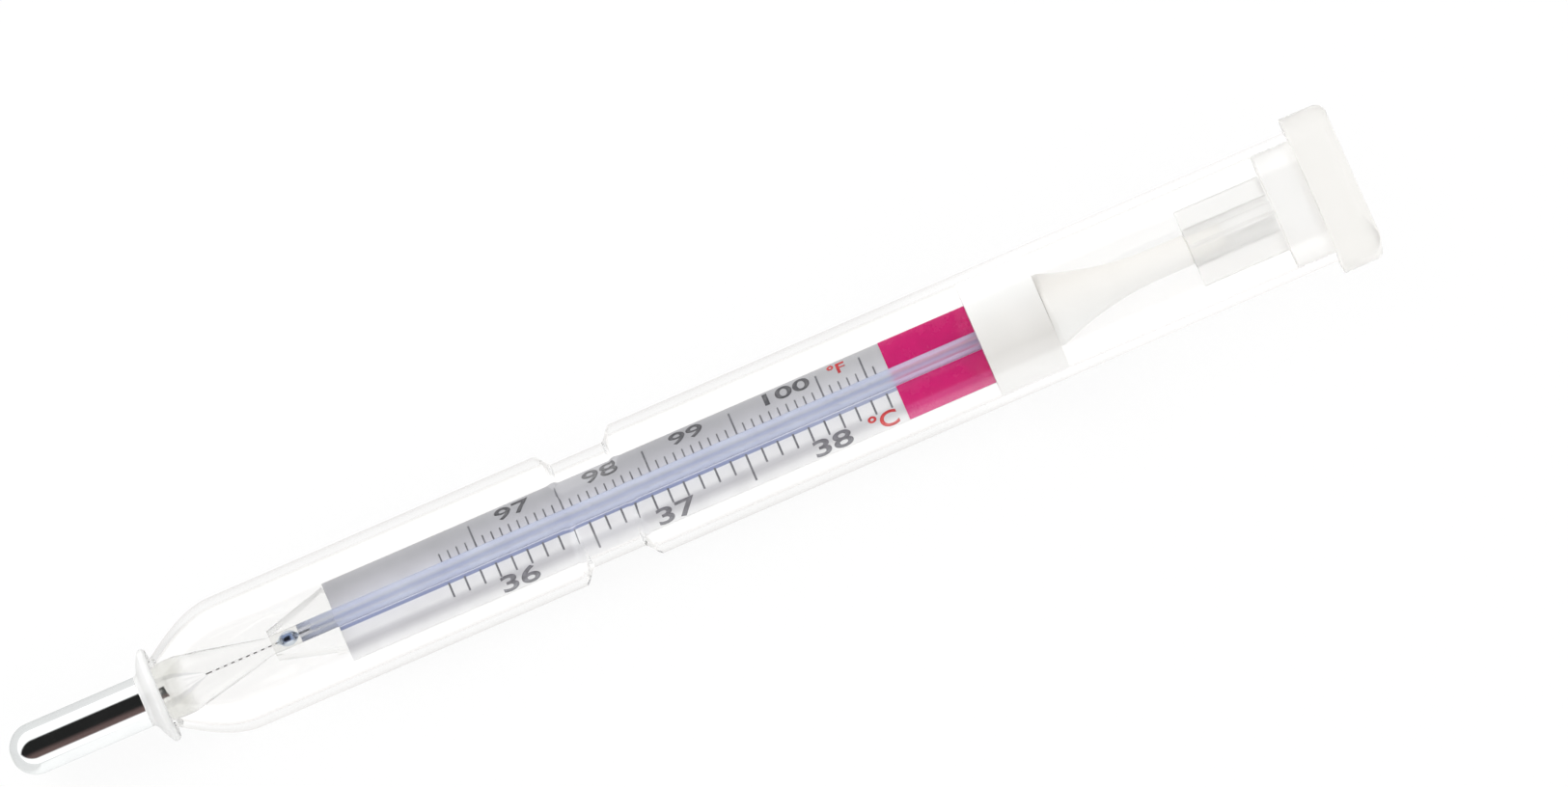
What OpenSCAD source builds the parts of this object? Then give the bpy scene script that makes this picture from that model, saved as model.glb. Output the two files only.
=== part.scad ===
// Clinical thermometer with an enclosed scale. A glass measuring system holds the mercury: bulb,
// constriction stem and capillary. A flattened glass envelope closes round it, the scale plate
// and their holders. It lies on its back: X runs from the bulb to the cap, the scale faces up.

/* [Overall] */
// Length from the tip of the bulb to the end of the cap
overall_len = 126.3; // [105:0.1:152]
// Width of the flattened envelope
tube_w = 12.2; // [10.1:0.1:14.7]
// Thickness of the flattened envelope
tube_h = 8.8; // [7.3:0.1:10.6]
// Glass wall of the envelope
wall = 0.75; // [0.6:0.05:0.9]

/* [Bulb and neck] */
// Outer diameter of the bulb
bulb_d = 4.6; // [3.8:0.1:5.6]
// Length of the bulb, up to the collar
bulb_len = 12.4; // [10.3:0.1:14.9]
// Glass wall of the bulb
bulb_wall = 0.35; // [0.25:0.05:0.45]
// Diameter of the dished collar behind the bulb
collar_d = 8.6; // [7.2:0.1:10.4]
// How far the collar's rim lies behind its middle
collar_sag = 1.25; // [0.8:0.05:1.5]
// Thickness of the collar
collar_t = 0.75; // [0.5:0.05:0.9]
// How far the stem is stepped in under the collar
collar_seat = 0.2; // [0.2:0.01:0.25]
// Gap between the back of the collar and the start of the dome
neck_gap = 0.15; // [0.1:0.05:0.2]
// How far the neck is proud of the bulb
neck_step = 0.3; // [0.2:0.05:0.4]
// Length of the neck inside the dome
neck_len = 2.5; // [2:0.1:3]
// Glass of the envelope round the neck
neck_lip = 0.25; // [0.2:0.05:0.3]
// Length of the dome, from the neck to the full width
dome_len = 7.3; // [6:0.1:8.8]

/* [Measuring system] */
// Length of the funnel from the bulb to the throat
funnel_len = 1.4; // [1.1:0.1:1.7]
// Diameter of the throat behind the collar
throat_d = 2.2; // [1.8:0.1:2.6]
// Length of the throat
throat_len = 1.2; // [1:0.1:1.5]
// Length of the taper from the throat to the constriction
taper_len = 3.4; // [2.8:0.1:4.1]
// Diameter of the constriction
pinch_d = 0.18; // [0.14:0.01:0.22]
// Diameter of the small chamber above the constriction
chamber_d = 1.0; // [0.8:0.05:1.2]
// Length of that chamber
chamber_len = 2.0; // [1.7:0.1:2.4]
// Distance from the collar to the end of that chamber
stem_len = 14.7; // [13.5:0.1:17.5]
// Outer diameter of the capillary
capillary_d = 1.6; // [1.4:0.05:1.9]
// Distance from the middle of the capillary to its flat back
capillary_flat = 0.58; // [0.48:0.02:0.66]
// Bore of the capillary
bore_d = 0.5; // [0.4:0.02:0.6]
// Diameter of the relief chamber at the upper end of the bore
relief_d = 0.8; // [0.65:0.05:0.95]
// Length of that chamber
relief_len = 2.3; // [1.9:0.1:2.8]
// Solid glass over that chamber
relief_cap = 1.0; // [0.8:0.1:1.2]
// Thickness of the coloured backing under the capillary
backing_t = 0.15; // [0.1:0.01:0.2]
// Length of the mercury column above the chamber when it is shaken down
column_len = 0.2; // [0.15:0.05:0.3]
// Length of the top of the column, which travels
index_len = 1.0; // [0.8:0.1:1.2]
// Play of the mercury in the bore
run_gap = 0.03; // [0.02:0.005:0.04]

/* [Scale plate] */
// Distance from the end of the stem to the lower end of the plate
plate_gap = 3.4; // [2.8:0.1:4.1]
// Width of the plate
plate_w = 7.4; // [6.1:0.1:8.9]
// Thickness of the plate
plate_t = 0.5; // [0.4:0.05:0.6]
// Side play of the plate between the dents of the envelope
plate_play = 0.4; // [0.3:0.05:0.5]
// How deep the upper end of the plate sits in the plug
plate_in_plug = 1.4; // [1.1:0.1:1.7]
// Length of the coloured end blocks
block_len = 8.1; // [6.7:0.1:9.8]
// Gap between the two end blocks, under the capillary
block_gap = 1.4; // [1.1:0.1:1.7]
// Thickness of the lacquer of the end blocks
block_t = 0.05; // [0.04:0.01:0.06]
// Width of the saddle where it holds the plate
saddle_w = 5.6; // [4.6:0.1:6.8]
// Length of the saddle in front of the plate
saddle_len = 5.9; // [4.9:0.1:6.2]
// Wall of the saddle over the capillary and at each side of it
saddle_wall = 0.3; // [0.25:0.05:0.4]
// Thickness of the saddle's lip
saddle_lip_t = 0.5; // [0.4:0.05:0.6]
// How far the saddle reaches behind the plate
saddle_lip = 1.6; // [1.3:0.1:1.9]
// Distance from the lower end of the plate to the middle of the dents
dent_at = 24.7; // [20.6:0.1:29.7]
// Length of the dents in the sides of the envelope
dent_len = 7.2; // [6:0.1:8.7]
// Length of the slope at each end of a dent
dent_slope = 1.3; // [1:0.1:1.6]

/* [Plug and stopper] */
// Length of the plug that ends the plate
plug_len = 6.3; // [5.2:0.1:7.6]
// How deep the capillary sits in the plug
capillary_in_plug = 4.3; // [3.6:0.1:5.2]
// Length of the stem between the plug and the stopper
rod_len = 13.5; // [11.2:0.1:16.2]
// Diameter of that stem
rod_d = 2.7; // [2.4:0.1:3.3]
// Length of the flare at its foot
flare_len = 10; // [8.3:0.1:10.8]
// Room between the flared foot and the envelope
flare_gap = 0.35; // [0.25:0.05:0.45]
// Height of the rim of the flared foot
flare_rim = 0.5; // [0.4:0.05:0.6]
// Diameter of the spigot that joins the stem to the stopper
spigot_d = 2.0; // [1.6:0.1:2.3]
// Length of that spigot
spigot_len = 3.2; // [2.6:0.1:3.9]
// Length of the stopper inside the envelope
stopper_len = 11.5; // [9.6:0.1:13.8]
// Length of the stopper's sealing block
seal_len = 3.5; // [2.9:0.1:4.2]
// Width of the stopper's flat ribs
rib_w = 7.0; // [5.8:0.1:8.4]
// Thickness of the ribs
rib_t = 0.9; // [0.7:0.05:1.1]
// Room between the upright ribs and the envelope
rib_gap = 0.4; // [0.3:0.05:0.5]
// Diameter of the stopper's core
core_d = 3.4; // [2.9:0.1:4]
// Length of the cap
cap_len = 4.0; // [3.4:0.1:4.8]
// How far the cap stands out at each side of the envelope
cap_flange = 1.2; // [1:0.1:1.5]
// Radius of the cap's edges
cap_round = 1.5; // [1.2:0.1:1.6]

/* [Fits] */
// Gap between pieces that are bonded or rest on each other
seat_gap = 0.02; // [0.015:0.005:0.03]
// Gap between the envelope and what slides into it
slide_gap = 0.05; // [0.04:0.005:0.06]

/* [Hidden] */
$fn = 96;
over = 1;

bulb_r = bulb_d / 2;
bulb_bore_r = bulb_r - bulb_wall;
seat_r = bulb_r - collar_seat;
neck_r = bulb_r + neck_step;
hole_r = neck_r + 2 * seat_gap;
lip_r = hole_r + neck_lip;
dish_r = (pow(collar_d / 2, 2) + pow(collar_sag, 2)) / (2 * collar_sag);
collar_back = dish_r - sqrt(pow(dish_r - collar_t, 2) - pow(lip_r, 2));
throat_r = throat_d / 2;
pinch_r = pinch_d / 2;
capillary_r = capillary_d / 2;
bore_r = bore_d / 2;

// Stations along the axis, counted from the tip of the bulb
neck_s = bulb_len + collar_back + neck_gap;
stem_end = bulb_len + stem_len;
chamber_s = stem_end - chamber_len;
plate_s = stem_end + plate_gap;
mouth_s = overall_len - cap_len;
stopper_s = mouth_s - stopper_len;
plug_end = stopper_s - rod_len;
plug_s = plug_end - plug_len;
dent_s = plate_s + dent_at;
block_s = plug_s - seat_gap - block_len;
capillary_end = plug_s + capillary_in_plug;

// Levels over the middle of the envelope
plate_front = -capillary_flat - backing_t;
plate_back = plate_front - plate_t;
plate_y = seat_gap - plate_play / 2;

// Room inside the envelope, and the depth of the dents that hold the plate
room_w = tube_w - 2 * wall;
room_h = tube_h - 2 * wall;
side_r = room_h / 2;
hold_half = (plate_w + plate_play) / 2 + side_r - sqrt(pow(side_r, 2) - pow(plate_back, 2));
dent_depth = room_w / 2 - hold_half;

// Places a piece whose axis is the envelope's middle line
module on_axis() {
    translate([-overall_len / 2, 0, tube_h / 2]) children();
}

// Turns an outline of radius and station about the axis
module turned() {
    on_axis() rotate([0, 90, 0]) rotate_extrude() children();
}

// Draws a cross-section, sideways and up, out from one station to another
module drawn(from, to) {
    on_axis() translate([from, 0, 0]) rotate([90, 0, 90]) linear_extrude(to - from) children();
}

// Cross-section with two half-round sides and flat front and back
module flat_oval(w, h) {
    for (side = [-1, 1]) translate([side * (w - h) / 2, 0]) circle(d = h);
    square([w - h, h], center = true);
}

// Half outline of a tube with a round tip
module tip_outline(r, tip, end) {
    intersection() {
        union() {
            translate([0, tip + r]) circle(r);
            translate([0, tip + r]) square([r, end - tip - r]);
        }
        translate([0, tip]) square([r, end - tip]);
    }
}

// Half outline of a spindle with pointed ends
module spindle_outline(r, from, to) {
    half = (to - from) / 2;
    bow = (half * half + r * r) / (2 * r);
    intersection() {
        translate([r - bow, from + half]) circle(bow);
        translate([0, from]) square([r, to - from]);
    }
}

// Half outline of the mercury's way: funnel, throat, taper, constriction and chamber
module way_outline(gap) {
    funnel_end = bulb_len + funnel_len;
    throat_end = funnel_end + throat_len;
    taper_end = throat_end + taper_len;
    polygon([
        [0, bulb_len],
        [bulb_bore_r - gap, bulb_len],
        [throat_r - gap, funnel_end],
        [throat_r - gap, throat_end],
        [pinch_r - gap, taper_end],
        [pinch_r - gap, stem_end],
        [0, stem_end],
    ]);
    spindle_outline(chamber_d / 2 - gap, chamber_s + 2 * gap, stem_end - 2 * gap);
}

module bulb() {
    color([0.80, 0.90, 0.88, 0.4]) turned() difference() {
        tip_outline(bulb_r, 0, bulb_len);
        tip_outline(bulb_bore_r, bulb_wall, bulb_len + over);
    }
}

module bulb_mercury() {
    color([0.62, 0.63, 0.66])
        turned() tip_outline(bulb_bore_r - seat_gap, bulb_wall + seat_gap, bulb_len);
}

// A dished ring of even thickness with a round rim, convex towards the bulb
module neck_collar() {
    rim_r = collar_d / 2 - collar_t / 2;
    mid_r = dish_r - collar_t / 2;
    rim_a = asin(rim_r / mid_r);
    middle = bulb_len + dish_r;
    reach = 2 * dish_r;
    color([0.84, 0.92, 0.92, 0.5]) turned() difference() {
        union() {
            intersection() {
                difference() {
                    translate([0, middle]) circle(dish_r);
                    translate([0, middle]) circle(dish_r - collar_t);
                }
                polygon([
                    [0, middle],
                    [0, middle - reach],
                    [reach * tan(rim_a), middle - reach],
                ]);
            }
            translate([rim_r, middle - mid_r * cos(rim_a)]) circle(d = collar_t);
        }
        translate([-over, 0]) square([over + seat_r + seat_gap, overall_len]);
    }
}

// Glass stem from the bulb to the capillary: neck, long taper and the constricted bore
module constriction_stem() {
    cone_s = neck_s + neck_len;
    cone_end = chamber_s - capillary_r;
    color([0.86, 0.93, 0.93, 0.4]) turned() difference() {
        polygon([
            [0, bulb_len],
            [seat_r, bulb_len],
            [seat_r, neck_s - neck_step],
            [neck_r, neck_s],
            [neck_r, cone_s],
            [capillary_r, cone_end],
            [capillary_r, stem_end],
            [0, stem_end],
        ]);
        way_outline(0);
        translate([0, stem_end - over]) square([pinch_r, 2 * over]);
    }
}

module throat_mercury() {
    color([0.30, 0.31, 0.36]) turned() way_outline(seat_gap);
}

// Capillary with a flat back, a straight bore and a wider chamber near its sealed end
module capillary_tube() {
    relief_end = capillary_end - relief_cap;
    relief_s = relief_end - relief_len;
    color([0.82, 0.86, 0.95, 0.5]) difference() {
        drawn(stem_end, capillary_end) difference() {
            circle(capillary_r);
            translate([-capillary_r, -capillary_d - capillary_flat]) square(capillary_d);
        }
        turned() {
            translate([0, stem_end - over]) square([bore_r, relief_s - stem_end + 2 * over]);
            translate([0, relief_end]) mirror([0, 1]) tip_outline(relief_d / 2, 0, relief_len);
        }
    }
}

// Blue backing fused to the flat back of the capillary, lying on the plate
module capillary_backing() {
    color([0.55, 0.62, 0.86]) drawn(stem_end + seat_gap, capillary_end) intersection() {
        circle(capillary_r);
        translate([-capillary_r, plate_front]) square([capillary_d, backing_t]);
    }
}

module mercury_column() {
    color([0.32, 0.33, 0.38])
        turned() translate([0, stem_end]) square([bore_r - run_gap, column_len - seat_gap]);
}

module mercury_index() {
    index_r = bore_r - run_gap;
    index_s = stem_end + column_len;
    color([0.32, 0.33, 0.38]) turned() intersection() {
        union() {
            translate([0, index_s + index_len - index_r]) circle(index_r);
            translate([0, index_s]) square([index_r, index_len - index_r]);
        }
        translate([0, index_s]) square([index_r, index_len]);
    }
}

// Clear wedge on the stem that takes the lower end of the plate
module plate_saddle() {
    grip_half = capillary_r + saddle_wall;
    bottom_z = plate_back - saddle_lip_t;
    top_z = capillary_r + seat_gap + saddle_wall;
    seat_s = plate_s - seat_gap;
    color([0.88, 0.90, 0.90, 0.5]) on_axis() difference() {
        union() {
            translate([0, 0, bottom_z]) linear_extrude(top_z - bottom_z) polygon([
                [seat_s - saddle_len, -grip_half],
                [seat_s, -saddle_w / 2],
                [seat_s, saddle_w / 2],
                [seat_s - saddle_len, grip_half],
            ]);
            translate([seat_s - over, -saddle_w / 2, bottom_z])
                cube([over + saddle_lip, saddle_w, saddle_lip_t - seat_gap]);
        }
        rotate([0, 90, 0]) cylinder(r = capillary_r + seat_gap, h = plate_s + saddle_lip + over);
    }
}

module scale_plate() {
    color([0.80, 0.80, 0.83]) drawn(plate_s, plug_s + plate_in_plug)
        translate([plate_y - plate_w / 2, plate_back]) square([plate_w, plate_t - seat_gap]);
}

// Lacquer blocks that end the scale, one on each side of the capillary
module colour_blocks() {
    front = plate_front - seat_gap;
    low = plate_y - plate_w / 2;
    high = plate_y + plate_w / 2;
    color([0.76, 0.10, 0.40]) drawn(block_s, plug_s - seat_gap) {
        translate([low, front]) square([-block_gap / 2 - low, block_t]);
        translate([block_gap / 2, front]) square([high - block_gap / 2, block_t]);
    }
}

// White plug that fills the envelope and takes the ends of the plate and the capillary
module plate_plug() {
    slot_w = plate_w + 2 * seat_gap;
    slot_t = plate_t + 2 * seat_gap;
    color([0.94, 0.94, 0.92]) difference() {
        drawn(plug_s, plug_end) flat_oval(room_w - 2 * slide_gap, room_h - 2 * slide_gap);
        drawn(plug_s - over, plug_s + plate_in_plug + seat_gap)
            translate([plate_y - slot_w / 2, plate_back - seat_gap]) square([slot_w, slot_t]);
        drawn(plug_s - over, capillary_end + seat_gap) circle(capillary_r + seat_gap);
    }
}

// Moulded stem: a foot that flares in one long hollow curve on the plug, and a spigot
module stopper_stem() {
    foot_r = room_h / 2 - flare_gap;
    rod_r = rod_d / 2;
    rise = foot_r - rod_r;
    foot_s = plug_end + seat_gap;
    flare_s = foot_s + flare_rim;
    hollow_r = (flare_len * flare_len + rise * rise) / (2 * rise);
    color([0.90, 0.87, 0.80]) turned() {
        translate([0, foot_s]) square([foot_r, flare_rim]);
        difference() {
            translate([0, flare_s]) square([foot_r, flare_len]);
            translate([rod_r + hollow_r, flare_s + flare_len]) circle(hollow_r);
        }
        translate([0, foot_s]) square([rod_r, stopper_s - seat_gap - foot_s]);
        translate([0, foot_s]) square([spigot_d / 2, stopper_s + spigot_len - foot_s]);
    }
}

// Outline with rounded far corners: the cap seen from above or from the side
module cap_outline(w) {
    intersection() {
        translate([0, -w / 2]) square([cap_len, w]);
        union() {
            translate([0, -w / 2]) square([cap_len - cap_round, w]);
            translate([0, cap_round - w / 2]) square([cap_len, w - 2 * cap_round]);
            for (side = [-1, 1])
                translate([cap_len - cap_round, side * (w / 2 - cap_round)]) circle(cap_round);
        }
    }
}

// Clear moulded stopper: crossed ribs round a core, a sealing block and the cap outside
module end_stopper() {
    cap_w = tube_w + 2 * cap_flange;
    color([0.92, 0.93, 0.93, 0.6]) difference() {
        union() {
            drawn(stopper_s, mouth_s - seal_len + over) {
                square([rib_w, rib_t], center = true);
                square([rib_t, room_h - 2 * rib_gap], center = true);
                circle(d = core_d);
            }
            drawn(mouth_s - seal_len, mouth_s + over)
                flat_oval(room_w - 2 * slide_gap, room_h - 2 * slide_gap);
            intersection() {
                drawn(mouth_s + seat_gap, overall_len) flat_oval(cap_w, tube_h);
                on_axis() translate([mouth_s, 0, -tube_h]) linear_extrude(2 * tube_h)
                    cap_outline(cap_w);
                on_axis() translate([mouth_s, cap_w, 0]) rotate([90, 0, 0])
                    linear_extrude(2 * cap_w) cap_outline(tube_h);
            }
        }
        turned() translate([0, stopper_s - over])
            square([spigot_d / 2 + seat_gap, spigot_len + over + seat_gap]);
    }
}

// The envelope is drawn through rings of points: a neck, a dome, a straight run with a dent
// in each narrow side, and an open mouth. The inner rings follow one wall inside the outer ones.
arc_steps = 22;
dome_steps = 12;
slope_steps = 5;
least_flat = 0.01;

function eased(t) = let (u = min(max(t, 0), 1)) u * u * (3 - 2 * u);
function dome_rise(s) = sin(90 * min(max((s - neck_s) / dome_len, 0), 1));
function dent_share(s) = eased((dent_len / 2 - abs(s - dent_s)) / dent_slope);
function outer_half(s, full) = lip_r + (full / 2 - lip_r) * dome_rise(s);
function outer_h(s) = outer_half(s, tube_h);
function outer_w(s) = outer_half(s, tube_w) - dent_depth * dent_share(s);
function inner_h(s) = max(hole_r, outer_h(s) - wall);
function inner_w(s) = max(hole_r, outer_w(s) - wall);

function oval_ring(s, w, h) = [
    for (side = [1, -1])
        for (i = [0:arc_steps])
            let (a = (side > 0 ? -90 : 90) + 180 * i / arc_steps)
                [s, side * max(w - h, least_flat) + h * cos(a), h * sin(a)]
];

stations = concat(
    [for (i = [0:dome_steps]) neck_s + dome_len * i / dome_steps],
    [for (i = [0:slope_steps]) dent_s - dent_len / 2 + dent_slope * i / slope_steps],
    [for (i = [0:slope_steps]) dent_s + dent_len / 2 - dent_slope * (1 - i / slope_steps)],
    [mouth_s]
);

module outer_envelope() {
    last = len(stations) - 1;
    rings = concat(
        [for (s = stations) oval_ring(s, outer_w(s), outer_h(s))],
        [for (i = [0:last]) let (s = stations[last - i]) oval_ring(s, inner_w(s), inner_h(s))]
    );
    n = len(rings);
    m = len(rings[0]);
    faces = [
        for (i = [0:n - 1])
            for (j = [0:m - 1])
                let (k = (i + 1) % n, l = (j + 1) % m)
                    each [
                        [i * m + j, i * m + l, k * m + l],
                        [i * m + j, k * m + l, k * m + j],
                    ]
    ];
    color([0.80, 0.88, 0.88, 0.3]) on_axis()
        polyhedron(points = [for (r = rings) each r], faces = faces);
}

bulb();
bulb_mercury();
neck_collar();
constriction_stem();
throat_mercury();
capillary_tube();
capillary_backing();
mercury_column();
mercury_index();
plate_saddle();
scale_plate();
colour_blocks();
plate_plug();
stopper_stem();
end_stopper();
outer_envelope();
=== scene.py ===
import math

import bmesh
import bpy
from mathutils import Matrix, Vector


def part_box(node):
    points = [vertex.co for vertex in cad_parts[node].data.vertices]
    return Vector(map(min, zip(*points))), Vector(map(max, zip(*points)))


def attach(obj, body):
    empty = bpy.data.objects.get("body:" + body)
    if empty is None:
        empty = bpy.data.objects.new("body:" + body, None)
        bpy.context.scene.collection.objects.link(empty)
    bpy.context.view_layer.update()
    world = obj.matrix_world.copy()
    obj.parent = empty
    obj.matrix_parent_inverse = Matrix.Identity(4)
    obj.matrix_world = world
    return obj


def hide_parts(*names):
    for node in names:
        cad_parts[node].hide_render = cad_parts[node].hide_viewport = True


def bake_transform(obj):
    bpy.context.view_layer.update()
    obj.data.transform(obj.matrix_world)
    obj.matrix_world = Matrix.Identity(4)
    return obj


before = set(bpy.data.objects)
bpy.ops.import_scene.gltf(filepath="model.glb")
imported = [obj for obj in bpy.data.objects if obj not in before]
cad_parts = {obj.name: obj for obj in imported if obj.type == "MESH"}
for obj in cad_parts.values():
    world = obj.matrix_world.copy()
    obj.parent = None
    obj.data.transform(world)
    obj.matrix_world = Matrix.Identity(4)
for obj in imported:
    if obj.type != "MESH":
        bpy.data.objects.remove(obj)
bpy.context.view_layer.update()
mm = 0.001
scene = bpy.context.scene
scene.view_settings.view_transform = "Standard"

envelopeLow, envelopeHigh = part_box("outer_envelope")
axisZ = (envelopeLow.z + envelopeHigh.z) / 2  # the middle line of the whole instrument
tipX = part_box("bulb")[0].x
print("frame loaded:", len(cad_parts), "nodes")


def station(s):  # a distance from the tip of the bulb, in mm, as a place along X
    return tipX + s * mm


def opaque(colour):
    return (*colour, 1.0)


def grey(level):
    return opaque((level,) * 3)


# Node helpers: what goes into a socket is a number, a colour or the output of another node

def feed(tree, socket, value):
    if isinstance(value, (int, float, tuple)):
        socket.default_value = value
    else:
        tree.links.new(value, socket)


def feedAll(tree, node, values):
    for label, value in values.items():
        feed(tree, node.inputs[label], value)


def addNoise(tree, vector, scale, detail=3.0, rough=0.55):
    node = tree.nodes.new("ShaderNodeTexNoise")
    feedAll(tree, node, {"Vector": vector, "Scale": scale, "Detail": detail, "Roughness": rough})
    return node.outputs["Fac"]


def addMath(tree, operation, *values):
    node = tree.nodes.new("ShaderNodeMath")
    node.operation = operation
    for socket, value in zip(node.inputs, values):
        feed(tree, socket, value)
    return node.outputs[0]


def addRange(tree, value, low, high, toLow=0.0, toHigh=1.0, smooth=True):
    node = tree.nodes.new("ShaderNodeMapRange")
    node.interpolation_type = "SMOOTHSTEP" if smooth else "LINEAR"
    feedAll(tree, node, {"Value": value, "From Min": low, "From Max": high,
                         "To Min": toLow, "To Max": toHigh})
    return node.outputs["Result"]


def addSpan(tree, value, span, *ends):  # a range between two distances in mm
    return addRange(tree, value, span[0] * mm, span[1] * mm, *ends)


def addReach(tree, along, reach, *ends):  # a range between two stations
    return addRange(tree, along, station(reach[0]), station(reach[1]), *ends)


def addMix(tree, share, first, second, blend="MIX"):
    node = tree.nodes.new("ShaderNodeMix")
    node.data_type = "RGBA"
    node.blend_type = blend
    for place, value in zip((0, 6, 7), (share, first, second)):  # its sockets for colours
        feed(tree, node.inputs[place], value)
    return node.outputs[2]


def addSplit(tree, vector):
    node = tree.nodes.new("ShaderNodeSeparateXYZ")
    tree.links.new(vector, node.inputs[0])
    return node.outputs


def addVector(tree, *parts):
    node = tree.nodes.new("ShaderNodeCombineXYZ")
    for socket, part in zip(node.inputs, parts):
        feed(tree, socket, part)
    return node.outputs[0]


# Shader groups that several finishes share

def newGroup(name, inputs, outputs):
    group = bpy.data.node_groups.new(name, "ShaderNodeTree")
    for label, kind, value in inputs:
        socket = group.interface.new_socket(label, in_out="INPUT", socket_type="NodeSocket" + kind)
        if value is not None:
            socket.default_value = value
    for label, kind in outputs:
        group.interface.new_socket(label, in_out="OUTPUT", socket_type="NodeSocket" + kind)
    return group, group.nodes.new("NodeGroupInput").outputs, group.nodes.new("NodeGroupOutput").inputs


# Handling marks: broad smears with fine specks, as a mask and as a height
marksSet = {"smearMask": (0.45, 0.7), "speckMask": (0.6, 0.75), "speckShare": 0.35, "speckHeight": 0.25}
marksGroup, entry, leave = newGroup(
    "handlingMarks",
    [("Vector", "Vector", None), ("Smear Scale", "Float", 300.0), ("Speck Scale", "Float", 4000.0)],
    [("Mask", "Float"), ("Height", "Float")])
smear = addNoise(marksGroup, entry["Vector"], entry["Smear Scale"], detail=4.0, rough=0.6)
speck = addNoise(marksGroup, entry["Vector"], entry["Speck Scale"], detail=2.0, rough=0.5)
smearMask = addRange(marksGroup, smear, *marksSet["smearMask"])
speckMask = addRange(marksGroup, speck, *marksSet["speckMask"])
both = addMath(marksGroup, "MULTIPLY_ADD", speckMask, marksSet["speckShare"], smearMask)
height = addMath(marksGroup, "MULTIPLY_ADD", speck, marksSet["speckHeight"], smear)
marksGroup.links.new(addMath(marksGroup, "MINIMUM", both, 1.0), leave["Mask"])
marksGroup.links.new(height, leave["Height"])

# Slow drift between two tones of one finish
driftGroup, entry, leave = newGroup(
    "toneDrift",
    [("Vector", "Vector", None), ("Scale", "Float", 200.0), ("Light Tone", "Color", None),
     ("Deep Tone", "Color", None)],
    [("Color", "Color")])
driftSpan = (0.3, 0.7)  # of the noise, from the light tone to the deep one
drift = addRange(driftGroup, addNoise(driftGroup, entry["Vector"], entry["Scale"]), *driftSpan)
driftGroup.links.new(addMix(driftGroup, drift, entry["Light Tone"], entry["Deep Tone"]), leave["Color"])


def placeGroup(tree, group, coords, values):
    node = tree.nodes.new("ShaderNodeGroup")
    node.node_tree = group
    feedAll(tree, node, {"Vector": coords, **values})
    return node.outputs


def addDrift(tree, coords, scale, light, deep):
    values = {"Scale": scale, "Light Tone": opaque(light), "Deep Tone": opaque(deep)}
    return placeGroup(tree, driftGroup, coords, values)["Color"]


def addGrain(tree, coords, colour, toneSet):  # a faint drift over a colour
    grain = addDrift(tree, coords, toneSet["grainScale"], (1.0,) * 3, (toneSet["grain"],) * 3)
    return addMix(tree, 1.0, colour, grain, "MULTIPLY")


def addMarks(tree, shader, coords, rough, depth, wearSet):  # on the roughness and as a bump, depth in mm
    scales = {"Smear Scale": wearSet["smearScale"], "Speck Scale": wearSet["speckScale"]}
    marks = placeGroup(tree, marksGroup, coords, scales)
    feed(tree, shader.inputs["Roughness"], addRange(tree, marks["Mask"], 0.0, 1.0, *rough))
    bump = tree.nodes.new("ShaderNodeBump")
    feedAll(tree, bump, {"Strength": wearSet["strength"], "Distance": depth * mm, "Height": marks["Height"]})
    feed(tree, shader.inputs["Normal"], bump.outputs["Normal"])


def startFinish(name):
    mat = bpy.data.materials.new(name)
    mat.use_nodes = True
    tree = mat.node_tree
    coords = tree.nodes.new("ShaderNodeTexCoord").outputs["Object"]
    return mat, tree, tree.nodes["Principled BSDF"], coords


def mixSurface(tree, share, first, second):
    mixer = tree.nodes.new("ShaderNodeMixShader")
    for socket, value in zip(mixer.inputs, (share, first.outputs[0], second.outputs[0])):
        feed(tree, socket, value)
    feed(tree, tree.nodes["Material Output"].inputs["Surface"], mixer.outputs[0])


# Solid finishes: tones as a function of the place, range of roughness, depth of the bump in mm
solidWear = {"strength": 0.5, "smearScale": 300.0, "speckScale": 4000.0}


def makeFinish(name, tones, rough, bump=0.004, metallic=0.0, coat=0.0):
    mat, tree, shader, coords = startFinish(name)
    feedAll(tree, shader, {"Base Color": tones(tree, coords), "Metallic": metallic, "Coat Weight": coat})
    addMarks(tree, shader, coords, rough, bump, solidWear)
    return mat


# Clear glass or plastic: lamps reach what is inside it, and its outline takes the rim tone, a painted shade
# along the outline
clearWear = {"strength": 0.3, "smearScale": 220.0, "speckScale": 2500.0}
clearSet = {"toneScale": 120.0, "outline": (0.5, 0.95), "mirrorLimit": 5.5}


def makeClear(name, light, deep, rim, rough, ior, shade, through=1.0, bump=0.002, fused=None, tint=None):
    mat, tree, shader, coords = startFinish(name)
    body = addDrift(tree, coords, clearSet["toneScale"], light, deep)
    if tint is not None:
        body = addMix(tree, 1.0, body, tint(tree, coords), "MULTIPLY")
    # painted shade: the colour turns to the rim tone where the surface turns away from view
    facing = tree.nodes.new("ShaderNodeLayerWeight").outputs["Facing"]
    outline = addRange(tree, facing, *clearSet["outline"])
    feedAll(tree, shader, {"Base Color": addMix(tree, outline, body, opaque(rim)),
                           "Transmission Weight": through, "IOR": ior})
    addMarks(tree, shader, coords, rough, bump, clearWear)
    clear = tree.nodes.new("ShaderNodeBsdfTransparent")
    feed(tree, clear.inputs["Color"], opaque(shade))
    path = tree.nodes.new("ShaderNodeLightPath").outputs
    share = addMath(tree, "MAXIMUM", path["Is Shadow Ray"], path["Is Diffuse Ray"])
    spent = addMath(tree, "GREATER_THAN", path["Glossy Depth"], clearSet["mirrorLimit"])
    share = addMath(tree, "MAXIMUM", share, spent)
    if fused is not None:
        share = addMath(tree, "MAXIMUM", share, fused(tree, coords))
    mixSurface(tree, share, shader, clear)
    return mat


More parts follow.
